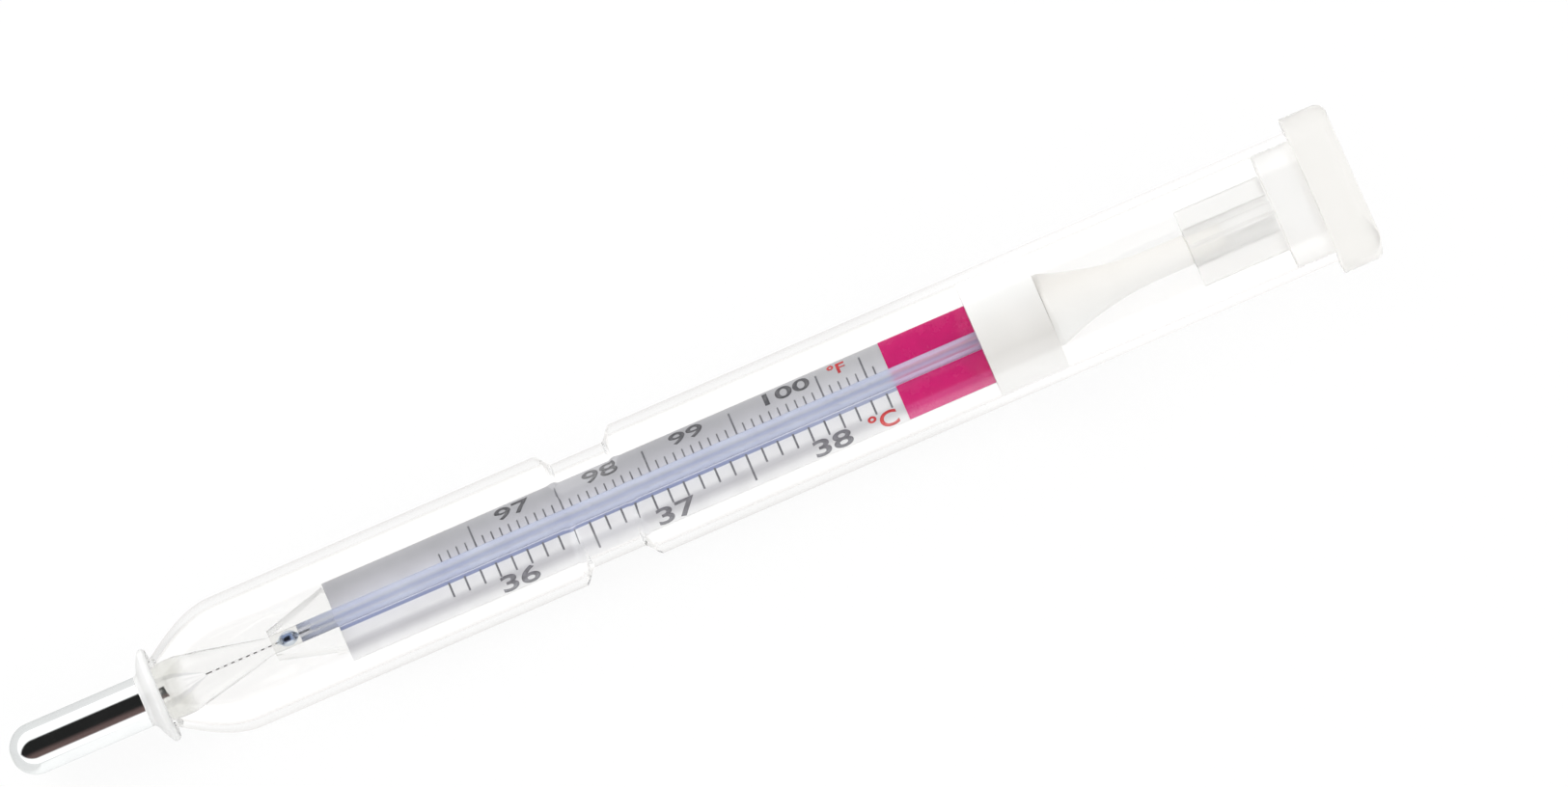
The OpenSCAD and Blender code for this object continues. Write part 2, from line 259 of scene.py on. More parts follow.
def addRadius(tree, coords):  # distance from the axis, and the place along it
    along, aside, high = addSplit(tree, coords)
    up = addMath(tree, "SUBTRACT", high, axisZ)
    squares = addMath(tree, "MULTIPLY_ADD", aside, aside, addMath(tree, "MULTIPLY", up, up))
    return addMath(tree, "SQRT", squares), along


# Seams where the glass is fused: how square an end face is, and the reach of the seat and of the grip
fusedSet = {"square": 0.95, "seatRadius": 2.15, "seatEnd": 13.55, "gripRadius": 0.9}


def endFaces(tree, coords):  # faces square to the axis, where one glass is fused to the next
    normal = addSplit(tree, tree.nodes.new("ShaderNodeNewGeometry").outputs["True Normal"])
    return addMath(tree, "GREATER_THAN", addMath(tree, "ABSOLUTE", normal[0]), fusedSet["square"])


def seatFaces(tree, coords):  # the end faces and the step that the collar is fused to
    out, along = addRadius(tree, coords)
    step = addMath(tree, "MULTIPLY", addMath(tree, "LESS_THAN", out, fusedSet["seatRadius"] * mm),
                   addMath(tree, "LESS_THAN", along, station(fusedSet["seatEnd"])))
    return addMath(tree, "MAXIMUM", step, endFaces(tree, coords))


def gripFaces(tree, coords):  # the end faces and the hole that grips the capillary
    hole = addMath(tree, "LESS_THAN", addRadius(tree, coords)[0], fusedSet["gripRadius"] * mm)
    return addMath(tree, "MAXIMUM", hole, endFaces(tree, coords))


# Tints of clear pieces: spans in mm or stations over which each comes in or fades
boreShadeSet = {"line": (0.08, 0.28), "tone": (0.86, 0.87, 0.91)}


def boreTint(tree, coords):  # painted shade: a bluish line along the middle of the glass, where the empty bore shows
    aside = addMath(tree, "ABSOLUTE", addSplit(tree, coords)[1])
    return addMix(tree, addSpan(tree, aside, boreShadeSet["line"], 1.0, 0.0), grey(1.0), opaque(boreShadeSet["tone"]))


capSet = {"reach": (121.6, 122.6), "tone": (0.87, 0.86, 0.84)}


def capTint(tree, coords):  # the cap is thicker than the ribs, so it looks deeper
    share = addReach(tree, addSplit(tree, coords)[0], capSet["reach"])
    return addMix(tree, share, grey(1.0), opaque(capSet["tone"]))


neckShadeSet = {"middle": 15.1, "along": (0.7, 1.9), "out": (1.3, 2.2), "tone": (0.76, 0.76, 0.73)}


def neckTint(tree, coords):  # painted shade: a grey tint on the thick outer glass around the neck
    out, along = addRadius(tree, coords)
    fromNeck = addMath(tree, "ABSOLUTE", addMath(tree, "SUBTRACT", along, station(neckShadeSet["middle"])))
    share = addMath(tree, "MULTIPLY", addSpan(tree, fromNeck, neckShadeSet["along"], 1.0, 0.0),
                    addSpan(tree, out, neckShadeSet["out"]))
    return addMix(tree, share, grey(1.0), opaque(neckShadeSet["tone"]))


envelopeGlass = makeClear(
    "envelopeGlass", light=(1.0, 0.998, 0.995), deep=(0.985, 0.982, 0.976), rim=(0.66, 0.63, 0.60),
    rough=(0.0, 0.02), ior=1.48, shade=(0.97, 0.97, 0.967))
collarGlass = makeClear(
    "collarGlass", light=(0.97, 0.97, 0.965), deep=(0.94, 0.94, 0.93), rim=(0.82, 0.82, 0.81),
    rough=(0.3, 0.45), ior=1.46, shade=(0.95, 0.95, 0.95), through=0.4, fused=seatFaces)
bulbGlass = makeClear(
    "bulbGlass", light=(0.985, 1.0, 0.992), deep=(0.955, 0.98, 0.968), rim=(0.72, 0.77, 0.745),
    rough=(0.0, 0.03), ior=1.52, shade=(0.94, 0.95, 0.94), fused=endFaces)
stemGlass = makeClear(
    "stemGlass", light=(1.0, 1.0, 0.998), deep=(0.985, 0.985, 0.98), rim=(0.86, 0.855, 0.84),
    rough=(0.0, 0.03), ior=1.34, shade=(0.96, 0.96, 0.96), fused=seatFaces, tint=neckTint)
capillaryGlass = makeClear(
    "capillaryGlass", light=(0.96, 0.97, 0.995), deep=(0.935, 0.95, 0.99), rim=(0.62, 0.68, 0.88),
    rough=(0.3, 0.4), ior=1.50, shade=(0.96, 0.965, 0.985), bump=0.001, fused=endFaces, tint=boreTint)
saddlePlastic = makeClear(
    "saddlePlastic", light=(1.0, 1.0, 0.997), deep=(0.975, 0.975, 0.968), rim=(0.95, 0.95, 0.94),
    rough=(0.18, 0.34), ior=1.08, shade=(0.95, 0.95, 0.945), bump=0.006, fused=gripFaces)
stopperPlastic = makeClear(
    "stopperPlastic", light=(1.0, 1.0, 0.995), deep=(0.99, 0.985, 0.975), rim=(0.90, 0.885, 0.86),
    rough=(0.28, 0.45), ior=1.32, shade=(0.97, 0.967, 0.96), through=0.85, bump=0.008, tint=capTint)

# painted reflection on the bead: its place and reach, and the tones of its core and rim
beadReflectionSet = {"light": (0.97, 0.97, 0.975), "deep": (0.93, 0.93, 0.94), "toneScale": 250.0, "middle": 26.07,
           "half": 1.02, "along": (0.3, 0.8), "aside": (0.22, 0.42), "core": (0.20, 0.26, 0.42),
           "edge": (0.80, 0.86, 0.94)}


def beadTones(tree, coords):  # bright metal; on the bead below the capillary a painted reflection of the blue glass and backing, dark blue in the core and paler at the rim
    metal = addDrift(tree, coords, beadReflectionSet["toneScale"], beadReflectionSet["light"], beadReflectionSet["deep"])
    place = addSplit(tree, coords)
    aside = addMath(tree, "ABSOLUTE", place[1])
    along = addMath(tree, "ABSOLUTE", addMath(tree, "SUBTRACT", place[0], station(beadReflectionSet["middle"])))
    edge = addMath(tree, "MAXIMUM", addSpan(tree, along, beadReflectionSet["along"]),
                   addSpan(tree, aside, beadReflectionSet["aside"]))
    blue = addMix(tree, edge, opaque(beadReflectionSet["core"]), opaque(beadReflectionSet["edge"]))
    return addMix(tree, addMath(tree, "LESS_THAN", along, beadReflectionSet["half"] * mm), metal, blue)


mercuryMetal = makeFinish("mercuryMetal", beadTones, rough=(0.02, 0.06), bump=0.001, metallic=1.0)

backingSet = {"light": (0.69, 0.72, 0.82), "deep": (0.62, 0.65, 0.78), "toneScale": 250.0,
              "reflectionReach": (82.6, 83.2), "reflectedPink": (0.74, 0.56, 0.73)}


def backingTones(tree, coords):  # pale blue, and pinker between the lacquer blocks: a painted reflection of their magenta
    blue = addDrift(tree, coords, backingSet["toneScale"], backingSet["light"], backingSet["deep"])
    share = addReach(tree, addSplit(tree, coords)[0], backingSet["reflectionReach"])
    return addMix(tree, share, blue, opaque(backingSet["reflectedPink"]))


backingEnamel = makeFinish("backingEnamel", backingTones, rough=(0.25, 0.4))


def acrossTones(toneSet):  # tones at places across the instrument, in mm from the axis, with a faint grain
    def tones(tree, coords):
        low, high = toneSet["tones"][0][0], toneSet["tones"][-1][0]
        ramp = tree.nodes.new("ShaderNodeValToRGB")
        for i, (place, tone) in enumerate(toneSet["tones"]):
            share = (place - low) / (high - low)
            stop = ramp.color_ramp.elements[i] if i < 2 else ramp.color_ramp.elements.new(share)
            stop.position, stop.color = share, opaque(tone)
        across = addRange(tree, addSplit(tree, coords)[1], low * mm, high * mm, smooth=False)
        feed(tree, ramp.inputs[0], across)
        return addGrain(tree, coords, ramp.outputs["Color"], toneSet)
    return tones


# painted shade across the plug: light towards +Y, darkest 2.5 mm towards -Y, paler again at the -Y edge
plugShadeSet = {"tones": [(-4.8, (0.95, 0.945, 0.935)), (-2.5, (0.77, 0.755, 0.735)), (0.2, (0.88, 0.87, 0.855)),
                     (2.4, (0.99, 0.99, 0.985))], "grain": 0.97, "grainScale": 250.0}
plugPlastic = makeFinish("plugPlastic", acrossTones(plugShadeSet), rough=(0.45, 0.65), bump=0.02)
# painted shade across the moulded stem: white towards -Y, darker towards +Y
stemShadeSet = {"tones": [(-2.6, (1.0, 1.0, 0.99)), (-0.4, (0.985, 0.972, 0.95)), (1.4, (0.94, 0.918, 0.885)),
                         (3.3, (0.95, 0.93, 0.90))], "grain": 0.97, "grainScale": 250.0}
stemPlastic = makeFinish("stemPlastic", acrossTones(stemShadeSet), rough=(0.35, 0.55), bump=0.015)

inkSet = {"toneScale": 2600.0, "rough": (0.4, 0.6)}


def makeInk(name, light, deep):
    def tones(tree, coords):
        return addDrift(tree, coords, inkSet["toneScale"], light, deep)
    return makeFinish(name, tones, inkSet["rough"])


darkInk = makeInk("darkInk", light=(0.11, 0.11, 0.12), deep=(0.17, 0.17, 0.18))
greyInk = makeInk("greyInk", light=(0.17, 0.17, 0.19), deep=(0.24, 0.24, 0.265))
redInk = makeInk("redInk", light=(0.60, 0.04, 0.05), deep=(0.72, 0.10, 0.10))

# the pale tone is a painted reflection along the lower edge of the blocks
lacquerSet = {"deep": (0.63, 0.009, 0.16), "pale": (0.68, 0.055, 0.235), "turn": (-2.85, -2.45),
              "grain": 0.93, "grainScale": 900.0}


def lacquerTones(tree, coords):  # deep above, paler along the lower edge: the pale band is a painted reflection
    turn = addSpan(tree, addSplit(tree, coords)[1], lacquerSet["turn"])
    colour = addMix(tree, turn, opaque(lacquerSet["pale"]), opaque(lacquerSet["deep"]))
    return addGrain(tree, coords, colour, lacquerSet)


magentaLacquer = makeFinish("magentaLacquer", lacquerTones, rough=(0.25, 0.4), coat=0.2)
print("finishes made")


# Mesh helpers; angles in degrees, and how far a fillet may run along its sides
meshSet = {"turns": 112, "sharp": 40.0, "arcStep": 9.0, "filletShare": 0.48, "tiny": 1e-6,
           "flat": 0.5, "bevelFrom": 32.0, "bevelSharp": 38.0}


def addObject(name, data):
    piece = bpy.data.objects.new(name, data)
    scene.collection.objects.link(piece)
    return piece


def plainMesh(piece):  # what its modifiers or its curve come to
    return bpy.data.meshes.new_from_object(piece.evaluated_get(bpy.context.evaluated_depsgraph_get()))


def makePiece(name, verts, faces, finish, smooth=True):
    mesh = bpy.data.meshes.new(name)
    mesh.from_pydata(verts, [], faces)
    mesh.materials.append(finish)
    if smooth:
        mesh.shade_smooth()
    return addObject(name, mesh)


def faceOutward(piece):
    mesh = bmesh.new()
    mesh.from_mesh(piece.data)
    bmesh.ops.recalc_face_normals(mesh, faces=mesh.faces)
    mesh.to_mesh(piece.data)
    mesh.free()
    piece.data.set_sharp_from_angle(angle=math.radians(meshSet["sharp"]))
    return piece


def seat(piece, slotName, *nodes, body="thermometer"):
    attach(piece, body)
    if nodes:
        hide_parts(*nodes)


def cornerArc(points, closed=False):  # points as (along, out, fillet radius), all in mm; gives (along, out)
    path = []
    count = len(points)
    for i, (a, o, r) in enumerate(points):
        here = Vector((a, o))
        if r <= 0 or (not closed and i in (0, count - 1)):
            path.append((a, o))
            continue
        toBack = Vector(points[i - 1][:2]) - here
        toNext = Vector(points[(i + 1) % count][:2]) - here
        back, ahead = toBack.normalized(), toNext.normalized()
        angle = toBack.angle(toNext)
        longest = min(toBack.length * meshSet["filletShare"], toNext.length * meshSet["filletShare"])
        reach = min(r / math.tan(angle / 2), longest)
        fillet = reach * math.tan(angle / 2)
        middle = here + (back + ahead).normalized() * (fillet / math.sin(angle / 2))
        first = here + back * reach - middle
        last = here + ahead * reach - middle
        sweep = first.angle_signed(last)
        steps = max(3, int(abs(math.degrees(sweep)) / meshSet["arcStep"]))
        for k in range(steps + 1):
            point = middle + Matrix.Rotation(-sweep * k / steps, 2) @ first
            path.append((point.x, point.y))
    return path


def arcPoints(alongMid, outMid, radius, fromDeg, toDeg, steps):
    angles = [math.radians(fromDeg + (toDeg - fromDeg) * k / steps) for k in range(steps + 1)]
    return [(alongMid + radius * math.cos(a), outMid + radius * math.sin(a)) for a in angles]


def toAxis(path):  # closes a path at both ends
    return [(path[0][0], 0.0)] + path + [(path[-1][0], 0.0)]


# Turns a path of (station, radius), in mm, about the axis; a ring closes on itself
def lathe(name, path, finish, ring=False, turns=meshSet["turns"]):
    verts, rows = [], []
    for along, radius in path:
        if radius < meshSet["tiny"]:
            rows.append([len(verts)])
            verts.append((station(along), 0.0, axisZ))
            continue
        rows.append(list(range(len(verts), len(verts) + turns)))
        for k in range(turns):
            a = 2 * math.pi * k / turns
            verts.append((station(along), radius * mm * math.cos(a), axisZ + radius * mm * math.sin(a)))
    faces = []
    for i in range(len(rows) if ring else len(rows) - 1):
        one, two = rows[i], rows[(i + 1) % len(rows)]
        if len(one) == 1 and len(two) == 1:
            continue
        for k in range(turns):
            n = (k + 1) % turns
            if len(one) == 1:
                faces.append((one[0], two[k], two[n]))
            elif len(two) == 1:
                faces.append((one[k], two[0], one[n]))
            else:
                faces.append((one[k], two[k], two[n], one[n]))
    return faceOutward(makePiece(name, verts, faces, finish))


def softCopy(node, name, finish, slotName, width, segments=3):  # a CAD node, edges rounded to a width in mm
    mesh = bmesh.new()
    mesh.from_mesh(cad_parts[node].data)
    bmesh.ops.remove_doubles(mesh, verts=mesh.verts, dist=meshSet["tiny"])
    flat = math.radians(meshSet["flat"])
    bmesh.ops.dissolve_limit(mesh, angle_limit=flat, verts=mesh.verts, edges=mesh.edges)
    data = bpy.data.meshes.new(name)
    mesh.to_mesh(data)
    mesh.free()
    data.materials.append(finish)
    piece = addObject(name, data)
    bevel = piece.modifiers.new("edges", "BEVEL")
    bevel.width = width * mm
    bevel.segments = segments
    bevel.limit_method = "ANGLE"
    bevel.angle_limit = math.radians(meshSet["bevelFrom"])
    done = plainMesh(piece)
    piece.modifiers.clear()
    low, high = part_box(node)
    for v in done.vertices:  # a rounded edge stays inside the box of its node
        v.co = [min(max(v.co[i], low[i]), high[i]) for i in range(3)]
    piece.data = done
    done.name = name
    done.shade_smooth()
    done.set_sharp_from_angle(angle=math.radians(meshSet["bevelSharp"]))
    seat(piece, slotName, node)


# Camera: from above and a little in front of the Celsius edge, turned so that the bulb is at the lower left
cameraSet = {"lean": 12.0, "roll": 23.4, "aimStation": 73.76, "aimUp": 2.47, "frameWidth": 135.4,
             "distance": 1.25, "sensor": 36.0, "clip": (0.05, 20.0)}
lean, roll = math.radians(cameraSet["lean"]), math.radians(cameraSet["roll"])
backward = Vector((0.0, -math.sin(lean), math.cos(lean)))
levelUp = Vector((0.0, math.cos(lean), math.sin(lean)))
levelRight = Vector((1.0, 0.0, 0.0))
imageRight = levelRight * math.cos(roll) - levelUp * math.sin(roll)
imageUp = levelRight * math.sin(roll) + levelUp * math.cos(roll)
aim = Vector((station(cameraSet["aimStation"]), 0.0, axisZ)) + levelUp * (cameraSet["aimUp"] * mm)
camera = addObject("camera", bpy.data.cameras.new("camera"))
place = Matrix((imageRight, imageUp, backward)).transposed().to_4x4()
place.translation = aim + backward * cameraSet["distance"]
camera.matrix_world = place
camera.data.sensor_width = cameraSet["sensor"]
camera.data.lens = cameraSet["sensor"] * cameraSet["distance"] / (cameraSet["frameWidth"] * mm)
camera.data.clip_start, camera.data.clip_end = cameraSet["clip"]
scene.camera = camera
print("camera placed, lens", round(camera.data.lens, 1))


# Geometry Nodes: a tree takes whole numbers, real numbers and a material, by label
def newTree(name, whole, real, material):
    tree = bpy.data.node_groups.new(name, "GeometryNodeTree")
    tree.interface.new_socket("Geometry", in_out="OUTPUT", socket_type="NodeSocketGeometry")
    keys = {}
    for kind, labels in (("Int", whole), ("Float", real), ("Material", [material])):
        for label in labels:
            socket = tree.interface.new_socket(label, in_out="INPUT", socket_type="NodeSocket" + kind)
            keys[label] = socket.identifier
    return tree, keys, tree.nodes.new("NodeGroupInput").outputs


def endTree(tree, shape, material):
    realize = tree.nodes.new("GeometryNodeRealizeInstances")
    coat = tree.nodes.new("GeometryNodeSetMaterial")
    feed(tree, realize.inputs[0], shape)
    feedAll(tree, coat, {"Geometry": realize.outputs[0], "Material": material})
    feed(tree, tree.nodes.new("NodeGroupOutput").inputs[0], coat.outputs[0])


def runTree(name, tree, keys, values):  # runs a tree on an empty mesh and gives back a plain mesh object
    holder = addObject(name, bpy.data.meshes.new(name))
    nodes = holder.modifiers.new("shape", "NODES")
    nodes.node_group = tree
    for label, value in values.items():
        nodes[keys[label]] = value
    holder.update_tag()
    done = plainMesh(holder)
    holder.modifiers.clear()
    holder.data = done
    done.name = name
    return holder


def calc(operation, *values):  # in the tree that is being made
    return addMath(tree, operation, *values)


# Outer envelope: a field of rings, an outer skin from the neck to the mouth and an inner one back
envelopeCount = {"Rings": 330, "Points": 96}
envelopeSet = {
    "Tube Width": 12.2, "Tube Height": 8.8, "Wall": 0.75, "Neck": 13.9, "Mouth": 122.3,
    "Dome Length": 7.3, "Hole Radius": 2.64, "Lip Radius": 2.89,
    "Dent Middle": 55.2, "Dent Length": 7.2, "Dent Slope": 1.3, "Dent Depth": 1.237,
}
leastFlat, weldGap = 0.01, 0.002  # in mm
bendShares = (0.0, 0.25, 0.30, 0.52, 0.56, 0.78, 1.0)  # share of the rings up to each bend
tree, keys, given = newTree("envelopeLoft", envelopeCount, [*envelopeSet, "Axis Height", "Tip"], "Glass")
grid = tree.nodes.new("GeometryNodeMeshGrid")
rows = calc("MULTIPLY", given["Rings"], 2.0)
feedAll(tree, grid, {"Size X": 1.0, "Size Y": 1.0, "Vertices X": calc("ADD", rows, 1.0),
                     "Vertices Y": calc("ADD", given["Points"], 1.0)})
spot = addSplit(tree, tree.nodes.new("GeometryNodeInputPosition").outputs[0])
row = calc("ROUND", calc("MULTIPLY", calc("ADD", spot[0], 0.5), rows))
lastRow = calc("GREATER_THAN", row, calc("SUBTRACT", rows, 0.5))
inside = calc("MULTIPLY", calc("GREATER_THAN", row, calc("SUBTRACT", given["Rings"], 0.5)),
              calc("SUBTRACT", 1.0, lastRow))
forward = calc("MULTIPLY", row, calc("SUBTRACT", 1.0, lastRow))
homeward = calc("SUBTRACT", calc("SUBTRACT", rows, 1.0), row)
step = calc("MULTIPLY_ADD", inside, calc("SUBTRACT", homeward, forward), forward)
share = calc("DIVIDE", step, calc("SUBTRACT", given["Rings"], 1.0))
dentHalf = calc("MULTIPLY", given["Dent Length"], 0.5)
dentIn = calc("SUBTRACT", given["Dent Middle"], dentHalf)
dentOut = calc("ADD", given["Dent Middle"], dentHalf)
bends = [given["Neck"], calc("ADD", given["Neck"], given["Dome Length"]), dentIn,
         calc("ADD", dentIn, given["Dent Slope"]), calc("SUBTRACT", dentOut, given["Dent Slope"]),
         dentOut, given["Mouth"]]
along = given["Neck"]  # rings lie close together where the glass bends, and far apart on the straight runs
for i in range(len(bends) - 1):
    run = calc("SUBTRACT", bends[i + 1], bends[i])
    done = addRange(tree, share, bendShares[i], bendShares[i + 1], smooth=False)
    along = calc("MULTIPLY_ADD", run, done, along)
fromNeck = calc("SUBTRACT", along, given["Neck"])
rise = calc("SINE", addRange(tree, fromNeck, 0.0, given["Dome Length"], 0.0, math.pi / 2, smooth=False))
fromDent = calc("ABSOLUTE", calc("SUBTRACT", along, given["Dent Middle"]))
dentShare = addRange(tree, calc("SUBTRACT", dentHalf, fromDent), 0.0, given["Dent Slope"])
halves = []
for size, cut in (("Tube Width", calc("MULTIPLY", given["Dent Depth"], dentShare)), ("Tube Height", 0.0)):
    growth = calc("SUBTRACT", calc("MULTIPLY", given[size], 0.5), given["Lip Radius"])
    outer = calc("SUBTRACT", calc("MULTIPLY_ADD", growth, rise, given["Lip Radius"]), cut)
    inner = calc("MAXIMUM", given["Hole Radius"], calc("SUBTRACT", outer, given["Wall"]))
    halves.append(calc("MULTIPLY_ADD", inside, calc("SUBTRACT", inner, outer), outer))
halfWide, halfHigh = halves
point = calc("MULTIPLY", calc("ADD", spot[1], 0.5), given["Points"])
turn = calc("DIVIDE", calc("ADD", point, 0.5), given["Points"])
angle = calc("MULTIPLY", turn, 2 * math.pi)
cosine = calc("COSINE", angle)
flat = calc("MAXIMUM", calc("SUBTRACT", halfWide, halfHigh), leastFlat)
aside = calc("MULTIPLY_ADD", halfHigh, cosine, calc("MULTIPLY", flat, calc("SIGN", cosine)))
upward = calc("MULTIPLY", halfHigh, calc("SINE", angle))
move = tree.nodes.new("GeometryNodeSetPosition")
feedAll(tree, move, {"Geometry": grid.outputs["Mesh"], "Position": addVector(
    tree, calc("MULTIPLY_ADD", along, mm, given["Tip"]), calc("MULTIPLY", aside, mm),
    calc("MULTIPLY_ADD", upward, mm, given["Axis Height"]))})
weld = tree.nodes.new("GeometryNodeMergeByDistance")
feedAll(tree, weld, {"Geometry": move.outputs[0], "Distance": weldGap * mm})
smoothed = tree.nodes.new("GeometryNodeSetShadeSmooth")
feed(tree, smoothed.inputs[0], weld.outputs[0])
endTree(tree, smoothed.outputs[0], given["Glass"])
envelope = faceOutward(runTree("outerEnvelope", tree, keys, {
    **envelopeCount, **envelopeSet, "Axis Height": axisZ, "Tip": tipX, "Glass": envelopeGlass}))
seat(envelope, "envelope_glass", "outer_envelope")
print("envelope:", len(envelope.data.polygons), "faces")


# Bulb, collar, stem and the mercury in them, all turned about the axis
bulbSet = {"radius": 2.3, "length": 12.4, "wall": 0.35, "press": 0.012, "seam": 0.01, "tipSteps": 28}
bulbBore = bulbSet["radius"] - bulbSet["wall"]
bulbEnd = bulbSet["length"] - bulbSet["seam"]
outerTip = arcPoints(bulbSet["radius"], 0.0, bulbSet["radius"], 180, 90, bulbSet["tipSteps"])
innerTip = arcPoints(bulbSet["radius"], 0.0, bulbBore, 90, 180, bulbSet["tipSteps"])
bulbMouth = [(bulbEnd, bulbSet["radius"]), (bulbEnd, bulbBore)]
seat(lathe("bulbShell", outerTip + bulbMouth + innerTip, bulbGlass), "bulb_glass", "bulb")

fillRadius = bulbBore + bulbSet["press"]  # mercury wets the whole wall, with no air between
fillTip = arcPoints(bulbSet["radius"], 0.0, fillRadius, 180, 90, bulbSet["tipSteps"])
fillEnd = [(bulbSet["length"], fillRadius), (bulbSet["length"], 0.0)]
seat(lathe("bulbMercury", fillTip + fillEnd, mercuryMetal), "mercury", "bulb_mercury")

collarSet = {"diameter": 8.6, "sag": 1.25, "thick": 0.75, "hole": 2.12, "filletTo": 2.75, "filletSteps": 8,
             "dishSteps": 20, "rimSteps": 14}
dish = ((collarSet["diameter"] / 2) ** 2 + collarSet["sag"] ** 2) / (2 * collarSet["sag"])
dishMid = bulbSet["length"] + dish
midRadius = dish - collarSet["thick"] / 2
backRadius = dish - collarSet["thick"]
rimAngle = math.degrees(math.asin((collarSet["diameter"] - collarSet["thick"]) / 2 / midRadius))
filletAngle = math.degrees(math.asin(collarSet["filletTo"] / dish))
backHole = math.degrees(math.asin(collarSet["hole"] / backRadius))


def dishArc(radius, fromDeg, toDeg, steps=collarSet["dishSteps"]):
    return arcPoints(dishMid, 0.0, radius, 180 - fromDeg, 180 - toDeg, steps)


rimMid = dishArc(midRadius, rimAngle, rimAngle, 1)[0]
rimRound = arcPoints(*rimMid, collarSet["thick"] / 2, 180 - rimAngle, -rimAngle, collarSet["rimSteps"])
filletStart = Vector((bulbSet["length"] + bulbSet["seam"], bulbSet["radius"]))
filletEnd = Vector(dishArc(dish, filletAngle, filletAngle, 1)[0])
dishSlope = math.tan(math.radians(filletAngle))  # where the fused glass runs out into the dish
filletTurn = Vector((filletEnd.x - (filletEnd.y - filletStart.y) * dishSlope, filletStart.y))
fillet = [(filletStart.x, collarSet["hole"])]
for k in range(collarSet["filletSteps"]):
    u = k / collarSet["filletSteps"]
    fillet.append(tuple(filletStart.lerp(filletTurn, u).lerp(filletTurn.lerp(filletEnd, u), u)))
collar = lathe("neckCollar", fillet + dishArc(dish, filletAngle, rimAngle) + rimRound[1:-1]
               + dishArc(backRadius, rimAngle, backHole), collarGlass, ring=True)
seat(collar, "collar_glass", "neck_collar")

# A round is the fillet where the run that is named before it ends
stemSet = {"seat": 2.1, "seatRound": 0.15, "neck": 2.6, "neckStart": 13.9, "neckStep": 0.3, "neckLength": 2.5,
           "neckRound": 2.5, "coneEnd": 24.3, "coneRound": 3.0, "capillary": 0.8, "end": 27.1,
           "funnel": 1.4, "funnelRound": 0.7, "throat": 1.1, "throatLength": 1.2, "throatRound": 1.2,
           "taper": 3.4, "taperRound": 1.0, "pinch": 0.09, "pinchGap": 0.2,
           "chamber": 0.5, "chamberLength": 2.0, "chamberSteps": 24, "chamberLip": 0.004,
           "drops": 9, "dropShare": 0.45, "dropThin": 0.02}


def spindleArc(radius, start, end, steps):
    half = (end - start) / 2
    bow = (half * half + radius * radius) / (2 * radius)
    swing = math.degrees(math.asin(half / bow))
    return arcPoints(start + half, radius - bow, bow, 90 + swing, 90 - swing, steps)


def mercuryWay(swell):  # radius along the way: funnel, throat, taper, pinch and chamber
    funnelEnd = bulbSet["length"] + stemSet["funnel"]
    throatEnd = funnelEnd + stemSet["throatLength"]
    chamberStart = stemSet["end"] - stemSet["chamberLength"]
    throat, pinch = stemSet["throat"] + swell, stemSet["pinch"] + swell
    way = cornerArc([
        (bulbSet["length"], bulbBore + swell, 0.0), (funnelEnd, throat, stemSet["funnelRound"]),
        (throatEnd, throat, stemSet["throatRound"]),
        (throatEnd + stemSet["taper"], pinch, stemSet["taperRound"]),
        (chamberStart - stemSet["pinchGap"], pinch, 0.0)])
    chamber = spindleArc(stemSet["chamber"] + swell, chamberStart, stemSet["end"], stemSet["chamberSteps"])
    return way + [p for p in chamber if p[1] > pinch + stemSet["chamberLip"]] + [(stemSet["end"], pinch)]


def brokenThread(path):  # shaken down, the thread parts into short drops along the narrow run
    cut = max(range(len(path) - 1), key=lambda i: path[i + 1][0] - path[i][0])  # its longest straight stretch
    start, radius = path[cut]
    pitch = (path[cut + 1][0] - start) / stemSet["drops"]
    thin = stemSet["dropThin"]
    drops = []
    for k in range(stemSet["drops"]):
        low, high = start + pitch * k, start + pitch * (k + stemSet["dropShare"])
        drops += [(low, radius), (high, radius), (high, thin), (low + pitch, thin)]
    return path[:cut] + drops + path[cut + 1:]


stemEnd = stemSet["end"] - bulbSet["seam"]
neckEnd = stemSet["neckStart"] + stemSet["neckLength"]
stemOuter = cornerArc([
    (bulbSet["length"], stemSet["seat"], 0.0),
    (stemSet["neckStart"] - stemSet["neckStep"], stemSet["seat"], stemSet["seatRound"]),
    (stemSet["neckStart"], stemSet["neck"], stemSet["seatRound"]),
    (neckEnd, stemSet["neck"], stemSet["neckRound"]),
    (stemSet["coneEnd"], stemSet["capillary"], stemSet["coneRound"]), (stemEnd, stemSet["capillary"], 0.0)])
stemInner = [(min(a, stemEnd), r) for a, r in mercuryWay(0.0)]
stem = lathe("constrictionStem", stemOuter + stemInner[::-1], stemGlass, ring=True)
seat(stem, "stem_glass", "constriction_stem")
throat = lathe("throatMercury", toAxis(brokenThread(mercuryWay(bulbSet["press"]))), mercuryMetal)
seat(throat, "mercury", "throat_mercury")
print("bulb, collar and stem turned")


# Capillary: D-shaped glass with a round bore and a relief chamber, on a strip of blue enamel
capillarySet = {"radius": 0.8, "flat": 0.58, "bore": 0.25, "start": 27.11, "end": 95.3, "relief": 0.4,
                "reliefStart": 92.0, "reliefEnd": 94.3, "reliefSteps": 10, "edge": 0.06, "arcSteps": 52}


def dShape(radius, flat, edge, steps):  # sideways and up, in mm, counted from the middle of the bore
    cut = math.asin(flat / radius)
    corner = math.sqrt(radius ** 2 - flat ** 2)
    angles = [-cut + (math.pi + 2 * cut) * k / steps for k in range(steps + 1)]
    arc = [(radius * math.cos(a), radius * math.sin(a), 0.0) for a in angles]
    arc[0] = (corner, -flat, edge)
    arc[-1] = (-corner, -flat, edge)
    return cornerArc(arc, closed=True)


